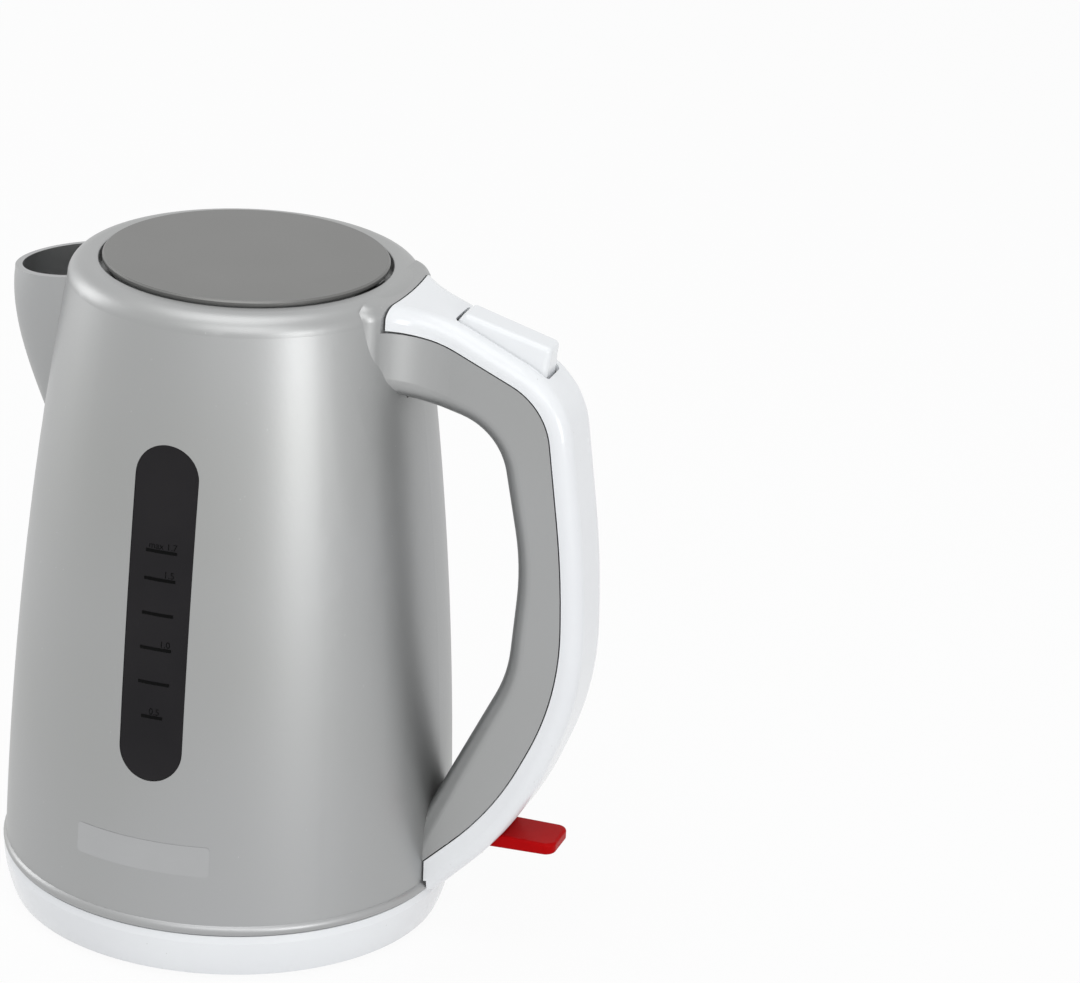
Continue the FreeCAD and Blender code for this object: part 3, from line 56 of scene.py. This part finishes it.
# colours, linear
SILVER = (0.40, 0.405, 0.41)
SILVER_WARM = (0.37, 0.375, 0.37)
SILVER_DUST = (0.56, 0.57, 0.57)
SILVER_METAL = 0.9
FILM = (0.43, 0.435, 0.44)
BLACK = (0.012, 0.012, 0.013)
WHITE = (0.83, 0.845, 0.86)
WHITE_SHADE = (0.79, 0.80, 0.82)
WHITE_DUST = (0.55, 0.55, 0.55)
DISC = (0.19, 0.19, 0.185)
DISC_SHADE = (0.17, 0.17, 0.165)
DISC_DUST = (0.34, 0.34, 0.34)
SMOKE = (0.008, 0.007, 0.009)
SMOKE_HAZE = (0.016, 0.014, 0.016)
RED = (0.46, 0.003, 0.004)
RED_DARK = (0.36, 0.003, 0.004)
INK = (0.005, 0.005, 0.005)
INK_DARK = (0.003, 0.003, 0.003)
MOULDED = (0.02, 0.02, 0.021)
MOULDED_DARK = (0.012, 0.012, 0.012)
STEEL = (0.55, 0.55, 0.56)
STEEL_DARK = (0.42, 0.42, 0.43)

# the mix node's colour sockets
MIX_FIRST = 6
MIX_SECOND = 7
MIX_RESULT = 2


# material building

class Paint:
    """A new principled material with short calls for its procedural detail."""

    def __init__(self, name, rough, **constants):
        self.material = bpy.data.materials.new(name)
        self.material.use_nodes = True
        self.tree = self.material.node_tree
        self.shader = self.tree.nodes["Principled BSDF"]
        self.shader.inputs["Roughness"].default_value = rough
        for socket, value in constants.items():
            self.shader.inputs[socket.replace("_", " ")].default_value = value
        self.coords = self.node("ShaderNodeTexCoord").outputs["Object"]

    def node(self, kind, **settings):
        made = self.tree.nodes.new(kind)
        for name, value in settings.items():
            setattr(made, name, value)
        return made

    def join(self, source, target):
        self.tree.links.new(source, target)

    def noise(self, scale, detail=3.0, stretch=(1, 1, 1)):
        mapping = self.node("ShaderNodeMapping")
        mapping.inputs["Scale"].default_value = stretch
        self.join(self.coords, mapping.inputs["Vector"])
        made = self.node("ShaderNodeTexNoise")
        made.inputs["Scale"].default_value = scale
        made.inputs["Detail"].default_value = detail
        self.join(mapping.outputs["Vector"], made.inputs["Vector"])
        return made.outputs["Fac"]

    def specks(self, scale, size):
        """Small spots such as dust: 1 in a spot, 0 elsewhere."""
        made = self.node("ShaderNodeTexVoronoi")
        made.inputs["Scale"].default_value = scale
        made.inputs["Randomness"].default_value = 1.0
        self.join(self.coords, made.inputs["Vector"])
        core = size * 0.6
        return self.spread(made.outputs["Distance"], size, core)

    def spread(self, value, low, high):
        """Maps low..high to 0..1, clamped."""
        made = self.node("ShaderNodeMapRange")
        made.inputs["From Min"].default_value = low
        made.inputs["From Max"].default_value = high
        self.join(value, made.inputs["Value"])
        return made.outputs["Result"]

    def math(self, operation, first, second):
        made = self.node("ShaderNodeMath", operation=operation)
        for socket, value in zip(made.inputs, (first, second)):
            if isinstance(value, float):
                socket.default_value = value
            else:
                self.join(value, socket)
        return made.outputs["Value"]

    def blend(self, factor, first, second):
        """A colour between two others."""
        made = self.node("ShaderNodeMix", data_type="RGBA")
        self.join(factor, made.inputs["Factor"])
        for index, value in ((MIX_FIRST, first), (MIX_SECOND, second)):
            if isinstance(value, tuple):
                made.inputs[index].default_value = (*value, 1)
            else:
                self.join(value, made.inputs[index])
        return made.outputs[MIX_RESULT]

    def colour(self, value):
        self.join(value, self.shader.inputs["Base Color"])

    def rough(self, factor, low, high):
        made = self.node("ShaderNodeMapRange")
        made.inputs["To Min"].default_value = low
        made.inputs["To Max"].default_value = high
        self.join(factor, made.inputs["Value"])
        self.join(made.outputs["Result"], self.shader.inputs["Roughness"])

    def bump(self, height, depth):
        made = self.node("ShaderNodeBump")
        made.inputs["Strength"].default_value = 1.0
        made.inputs["Distance"].default_value = depth
        self.join(height, made.inputs["Height"])
        self.join(made.outputs["Normal"], self.shader.inputs["Normal"])


def inside_mask(paint):
    """1 on the cup's inner faces, below the lid's ledge."""
    split = paint.node("ShaderNodeSeparateXYZ")
    paint.join(paint.coords, split.inputs["Vector"])
    height = split.outputs["Z"]
    across = paint.math("POWER", split.outputs["X"], 2.0)
    along = paint.math("POWER", split.outputs["Y"], 2.0)
    radius = paint.math("SQRT", paint.math("ADD", across, along), 0.0)
    share = paint.math("DIVIDE", paint.math("SUBTRACT", height, WALL_FOOT), WALL_SPAN)
    base, first, second, third = WALL_TERMS
    wall = paint.math("MULTIPLY", share, third)
    wall = paint.math("MULTIPLY", paint.math("ADD", wall, second), share)
    wall = paint.math("MULTIPLY", paint.math("ADD", wall, first), share)
    wall = paint.math("ADD", wall, base - HALF_WALL)
    within = paint.math("LESS_THAN", radius, wall)
    below = paint.math("LESS_THAN", height, LEDGE - HALF_WALL)
    return paint.math("MULTIPLY", within, below)


def silver_paint(name, with_inside):
    paint = Paint(name, 0.42, Metallic=SILVER_METAL)
    cloud = paint.spread(paint.noise(scale=9.0, detail=2.0), low=0.3, high=0.7)
    tone = paint.blend(cloud, SILVER_WARM, SILVER)
    tone = paint.blend(paint.specks(scale=210.0, size=0.035), tone, SILVER_DUST)
    if with_inside:
        mask = inside_mask(paint)
        tone = paint.blend(mask, tone, BLACK)
        outside = paint.math("SUBTRACT", 1.0, mask)
        paint.join(paint.math("MULTIPLY", outside, SILVER_METAL), paint.shader.inputs["Metallic"])
    paint.colour(tone)
    paint.rough(paint.noise(scale=2600.0, detail=1.0), low=0.38, high=0.46)
    paint.bump(paint.noise(scale=900.0, detail=2.0), depth=0.012 * MM)
    return paint.material


def white_plastic():
    paint = Paint("white_gloss", 0.22, Coat_Weight=0.25, Coat_Roughness=0.08)
    tone = paint.blend(paint.spread(paint.noise(scale=14.0), low=0.35, high=0.65), WHITE_SHADE, WHITE)
    paint.colour(paint.blend(paint.specks(scale=170.0, size=0.03), tone, WHITE_DUST))
    paint.rough(paint.noise(scale=60.0, detail=4.0), low=0.17, high=0.28)
    paint.bump(paint.noise(scale=420.0, detail=2.0), depth=0.008 * MM)
    return paint.material


def disc_paint():
    paint = Paint("lid_satin", 0.40, Metallic=0.75)
    rings = paint.node("ShaderNodeTexWave", wave_type="RINGS", rings_direction="Z")
    rings.inputs["Scale"].default_value = 900.0
    rings.inputs["Distortion"].default_value = 1.5
    paint.join(paint.coords, rings.inputs["Vector"])
    cloud = paint.spread(paint.noise(scale=16.0, detail=2.0), low=0.3, high=0.7)
    tone = paint.blend(cloud, DISC_SHADE, DISC)
    paint.colour(paint.blend(paint.specks(scale=260.0, size=0.03), tone, DISC_DUST))
    paint.rough(rings.outputs["Fac"], low=0.36, high=0.42)
    paint.bump(paint.noise(scale=1500.0, detail=2.0), depth=0.008 * MM)
    return paint.material


def smoke_plastic():
    paint = Paint("smoke_clear", 0.07, Transmission_Weight=0.25, IOR=1.49, Specular_IOR_Level=0.1)
    haze = paint.spread(paint.noise(scale=30.0, detail=4.0), low=0.35, high=0.75)
    paint.colour(paint.blend(haze, SMOKE, SMOKE_HAZE))
    paint.rough(paint.noise(scale=90.0, detail=4.0), low=0.04, high=0.13)
    paint.bump(paint.noise(scale=260.0, detail=2.0), depth=0.006 * MM)
    return paint.material


def plain_plastic(name, colour, darker, rough, grain, gloss=0.5):
    paint = Paint(name, rough, Specular_IOR_Level=gloss)
    cloud = paint.spread(paint.noise(scale=45.0, detail=4.0), low=0.3, high=0.7)
    paint.colour(paint.blend(cloud, darker, colour))
    paint.rough(paint.noise(scale=130.0, detail=3.0), low=rough - 0.05, high=rough + 0.07)
    paint.bump(paint.noise(grain, detail=2.0), depth=0.02 * MM)
    return paint.material


def drawn_steel(name):
    paint = Paint(name, 0.3, Metallic=1.0)
    lines = paint.noise(scale=500.0, detail=3.0, stretch=(1, 0.05, 1))
    paint.colour(paint.blend(lines, STEEL_DARK, STEEL))
    paint.rough(lines, low=0.22, high=0.4)
    paint.bump(lines, depth=0.01 * MM)
    return paint.material


def clear_film():
    """A bare clear film, drawn with the silver that shows through it under a glossy skin."""
    paint = Paint("bare_film", 0.40, Metallic=0.85, Coat_Weight=0.5, Coat_Roughness=0.1)
    paint.colour(paint.blend(paint.noise(scale=60.0, detail=2.0), SILVER, FILM))
    paint.rough(paint.noise(scale=40.0, detail=2.0), low=0.36, high=0.42)
    paint.bump(paint.noise(scale=70.0, detail=2.0), depth=0.003 * MM)
    return paint.material


ink = plain_plastic("black_ink", INK, INK_DARK, rough=0.55, grain=900.0, gloss=0.04)
film = clear_film()
FINISHES = {
    silver_paint("silver_body", with_inside=True): ["body_shell"],
    silver_paint("silver_lid", with_inside=False): ["lid_base"],
    white_plastic(): ["handle_cover", "lid_release_button", "base_pan"],
    disc_paint(): ["lid_top_disc"],
    smoke_plastic(): ["window_near", "window_far"],
    ink: ["level_marks_near", "level_marks_far"],
    film: ["clear_label"],
    plain_plastic("red_gloss", RED, RED_DARK, rough=0.3, grain=300.0, gloss=0.03): ["switch_lever"],
    plain_plastic("black_moulded", MOULDED, MOULDED_DARK, rough=0.5, grain=700.0):
        ["latch_slider", "inner_floor"],
    drawn_steel("pin_steel"): ["hinge_pin", "lever_pin", "base_screws"],
    drawn_steel("spring_wire"): ["lid_spring", "latch_spring", "button_spring"],
}
for finish, names in FINISHES.items():
    for name in names:
        data = NODES[name].data
        data.materials.clear()
        data.materials.append(finish)


# level numbers

BEYOND = 100 * MM
PRINT_LIFT = 0.05 * MM
CAP = 1.9 * MM
CAP_SHARE = 0.7
GAP = 0.75 * MM

# words, right end from the window's middle, height of the mark below them
LEVELS = (
    ("0.5", 2.3 * MM, 80.4 * MM),
    ("1.0", 4.4 * MM, 100.9 * MM),
    ("1.5", 4.4 * MM, 121.4 * MM),
    ("max 1.7", 4.7 * MM, 129.6 * MM),
)


def level_number(words, side, right_end, foot):
    """A printed number whose right end and foot are given, laid on the window's curved face."""
    curve = bpy.data.curves.new(f"number_{words}", "FONT")
    curve.body = words
    curve.size = CAP / CAP_SHARE
    curve.align_x = "RIGHT"
    text = bpy.data.objects.new(f"number_{words}", curve)
    bpy.context.scene.collection.objects.link(text)
    bpy.context.view_layer.update()
    shaped = text.evaluated_get(bpy.context.evaluated_depsgraph_get())
    flat = bpy.data.meshes.new_from_object(shaped)
    bpy.data.objects.remove(text)
    side_name = "near" if side < 0 else "far"
    window = NODES[f"window_{side_name}"]
    to_window = window.matrix_world.inverted()
    inward = to_window.to_3x3() @ Vector((0, -side, 0))
    for vertex in flat.vertices:
        start = Vector((-side * (right_end + vertex.co.x), side * BEYOND, foot + vertex.co.y))
        face_point = window.matrix_world @ window.ray_cast(to_window @ start, inward)[1]
        vertex.co = face_point + Vector((0, side * PRINT_LIFT, 0))
    label = words.replace(" ", "_").replace(".", "_")
    made = bpy.data.objects.new(f"level_{label}_{side_name}", flat)
    bpy.context.scene.collection.objects.link(made)
    flat.materials.append(ink)
    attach(made, "kettle")


for side in (-1, 1):
    for words, right_end, mark in LEVELS:
        level_number(words, side, right_end, mark + GAP)


# clear label: a bare film just proud of the wall

LABEL_LENGTH = 42 * MM
LABEL_HEIGHT = 9.3 * MM
LABEL_LEVEL = 38 * MM
LABEL_TURN = math.radians(-1.8)
LABEL_CORNER = 1.2 * MM
LABEL_THICK = 0.05 * MM
LABEL_COLUMNS = 48
LABEL_ROWS = 6

# near the label the wall stands 0.10 to 0.16 mm outside its formula
LABEL_LIFT = 0.17 * MM


def wall_radius(height):
    share = (height - WALL_FOOT) / WALL_SPAN
    return sum(term * share ** power for power, term in enumerate(WALL_TERMS))


def film_label():
    """A thin closed sheet round the wall, its corners rounded."""
    half_length = LABEL_LENGTH / 2
    half_height = LABEL_HEIGHT / 2
    rows = []
    for column in range(LABEL_COLUMNS + 1):
        along = half_length * math.sin(math.pi * (column / LABEL_COLUMNS - 0.5))
        into_corner = max(0.0, abs(along) - (half_length - LABEL_CORNER))
        corner_reach = math.sqrt(max(0.0, LABEL_CORNER ** 2 - into_corner ** 2))
        reach = half_height - LABEL_CORNER + corner_reach
        rows.append([(along, reach * (2 * row / LABEL_ROWS - 1)) for row in range(LABEL_ROWS + 1)])
    vertices = []
    for lift in (LABEL_LIFT, LABEL_LIFT + LABEL_THICK):
        for row in rows:
            for along, over in row:
                height = LABEL_LEVEL + over
                out = wall_radius(height) + lift
                angle = along / wall_radius(LABEL_LEVEL) + LABEL_TURN
                vertices.append((out * math.sin(angle), -out * math.cos(angle), height))
    layer = len(vertices) // 2
    step = LABEL_ROWS + 1
    faces = []
    for column in range(LABEL_COLUMNS):
        for row in range(LABEL_ROWS):
            corner = column * step + row
            quad = (corner, corner + step, corner + step + 1, corner + 1)
            faces.append(tuple(layer + index for index in quad))
            faces.append(tuple(reversed(quad)))
    ring = list(range(0, layer, step))
    ring += list(range(layer - step + 1, layer))
    ring += list(range(layer - step - 1, 0, -step))
    ring += list(range(LABEL_ROWS - 1, 0, -1))
    for first, second in zip(ring, ring[1:] + ring[:1]):
        faces.append((first, second, layer + second, layer + first))
    mesh = bpy.data.meshes.new("film_label")
    mesh.from_pydata(vertices, [], faces)
    made = bpy.data.objects.new("film_label", mesh)
    bpy.context.scene.collection.objects.link(made)
    mesh.materials.append(film)
    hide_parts("clear_label")
    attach(made, "kettle")


film_label()


# springs drawn as copies of their parts, in their place


def pressed_spring(node):
    """A drawn copy of a spring in the spring's place, riding on the kettle; the imported spring is
    hidden.
    """
    coil = bpy.data.objects.new(f"pressed_{node}", NODES[node].data.copy())
    bpy.context.scene.collection.objects.link(coil)
    coil.matrix_world = NODES[node].matrix_world
    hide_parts(node)
    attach(coil, "kettle")
    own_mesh(coil)


pressed_spring("latch_spring")
pressed_spring("button_spring")


# camera: the photograph's own

AZIMUTH = math.radians(17.147)
ELEVATION = math.radians(21.437)
ROLL = math.radians(3.209)
DISTANCE = 1367.994 * MM
SHIFT_RIGHT = 88.016 * MM
AIM_HEIGHT = 126.641 * MM
FOCAL_PIXELS = 4669.331
PHOTO_WIDTH = 1080
SENSOR_WIDTH = 36.0
CLIP_START = 0.05
CLIP_END = 50


def direction_to(azimuth, elevation):
    """Unit vector, its azimuth counted from the near window's side towards the handle."""
    flat = math.cos(elevation)
    return Vector((math.sin(azimuth) * flat, -math.cos(azimuth) * flat, math.sin(elevation)))


back = direction_to(AZIMUTH, ELEVATION)
level_right = Vector((math.cos(AZIMUTH), math.sin(AZIMUTH), 0))
level_up = back.cross(level_right)
right = level_right * math.cos(ROLL) + level_up * math.sin(ROLL)
up = level_up * math.cos(ROLL) - level_right * math.sin(ROLL)
place = Vector((0, 0, AIM_HEIGHT)) + back * DISTANCE + right * SHIFT_RIGHT

lens = bpy.data.cameras.new("photo_camera")
lens.sensor_width = SENSOR_WIDTH
lens.lens = FOCAL_PIXELS * SENSOR_WIDTH / PHOTO_WIDTH
lens.clip_start = CLIP_START
lens.clip_end = CLIP_END
camera = bpy.data.objects.new("photo_camera", lens)
bpy.context.scene.collection.objects.link(camera)
turn = Matrix((right, up, back)).transposed()
camera.matrix_world = Matrix.Translation(place) @ turn.to_4x4()
bpy.context.scene.camera = camera


# lamps

LAMP_AIM = Vector((0, 0, 100 * MM))


def softbox(name, azimuth, elevation, distance, width, height, power):
    """A soft area lamp that faces the kettle. Angles in degrees."""
    lamp = bpy.data.lights.new(name, "AREA")
    lamp.shape = "RECTANGLE"
    lamp.size = width
    lamp.size_y = height
    lamp.energy = power
    made = bpy.data.objects.new(name, lamp)
    bpy.context.scene.collection.objects.link(made)
    direction = direction_to(math.radians(azimuth), math.radians(elevation))
    made.location = LAMP_AIM + direction * distance
    made.rotation_mode = "QUATERNION"
    made.rotation_quaternion = direction.to_track_quat("Z", "Y")


softbox("key", azimuth=54, elevation=4, distance=1.3, width=0.32, height=0.4, power=2.9)
softbox("fill_left", azimuth=-95, elevation=14, distance=1.4, width=0.6, height=0.8, power=3.5)
softbox("fill_front", azimuth=20, elevation=30, distance=1.6, width=1.4, height=0.8, power=5)
softbox("top", azimuth=0, elevation=80, distance=1.3, width=1.0, height=1.0, power=4.5)


# floor and background

WHITE_SHARE = 0.93
PURE_WHITE = (1, 1, 1, 1)
FLOOR_GREY = (0.82, 0.82, 0.82, 1)
FLOOR_HALF = 3.0
FLOOR_DROP = 0.2 * MM
AMBIENT = (0.97, 0.985, 1.0, 1)
AMBIENT_LEVEL = 0.6


def seen_directly(tree):
    """1 where the camera, a reflection or a view through glass meets the background, else 0."""
    path = tree.nodes.new("ShaderNodeLightPath")
    seen = path.outputs["Is Camera Ray"]
    for ray in ("Is Glossy Ray", "Is Transmission Ray"):
        more = tree.nodes.new("ShaderNodeMath")
        more.operation = "MAXIMUM"
        tree.links.new(seen, more.inputs[0])
        tree.links.new(path.outputs[ray], more.inputs[1])
        seen = more.outputs["Value"]
    return seen


def floor_material():
    """Pale and matte, with a share of plain white where it is seen, so that it keeps a soft shadow."""
    material = bpy.data.materials.new("pale_floor")
    material.use_nodes = True
    tree = material.node_tree
    tree.nodes.clear()
    output = tree.nodes.new("ShaderNodeOutputMaterial")
    matte = tree.nodes.new("ShaderNodeBsdfDiffuse")
    matte.inputs["Color"].default_value = FLOOR_GREY
    glow = tree.nodes.new("ShaderNodeEmission")
    glow.inputs["Color"].default_value = PURE_WHITE
    share = tree.nodes.new("ShaderNodeMath")
    share.operation = "MULTIPLY"
    share.inputs[1].default_value = WHITE_SHARE
    blend = tree.nodes.new("ShaderNodeMixShader")
    tree.links.new(seen_directly(tree), share.inputs[0])
    tree.links.new(share.outputs["Value"], blend.inputs["Fac"])
    tree.links.new(matte.outputs["BSDF"], blend.inputs[1])
    tree.links.new(glow.outputs["Emission"], blend.inputs[2])
    tree.links.new(blend.outputs["Shader"], output.inputs["Surface"])
    return material


floor_mesh = bpy.data.meshes.new("floor")
signs = ((-1, -1), (1, -1), (1, 1), (-1, 1))
corners = [(x * FLOOR_HALF, y * FLOOR_HALF, -FLOOR_DROP) for x, y in signs]
floor_mesh.from_pydata(corners, [], [(0, 1, 2, 3)])
floor = bpy.data.objects.new("floor", floor_mesh)
bpy.context.scene.collection.objects.link(floor)
floor_mesh.materials.append(floor_material())

world = bpy.data.worlds.new("studio")
world.use_nodes = True
bpy.context.scene.world = world
tree = world.node_tree
ambient = tree.nodes["Background"]
ambient.inputs["Color"].default_value = AMBIENT
ambient.inputs["Strength"].default_value = AMBIENT_LEVEL
white = tree.nodes.new("ShaderNodeBackground")
white.inputs["Color"].default_value = PURE_WHITE
mix = tree.nodes.new("ShaderNodeMixShader")
tree.links.new(seen_directly(tree), mix.inputs["Fac"])
tree.links.new(ambient.outputs["Background"], mix.inputs[1])
tree.links.new(white.outputs["Background"], mix.inputs[2])
tree.links.new(mix.outputs["Shader"], tree.nodes["World Output"].inputs["Surface"])

bpy.context.scene.view_settings.view_transform = "Standard"
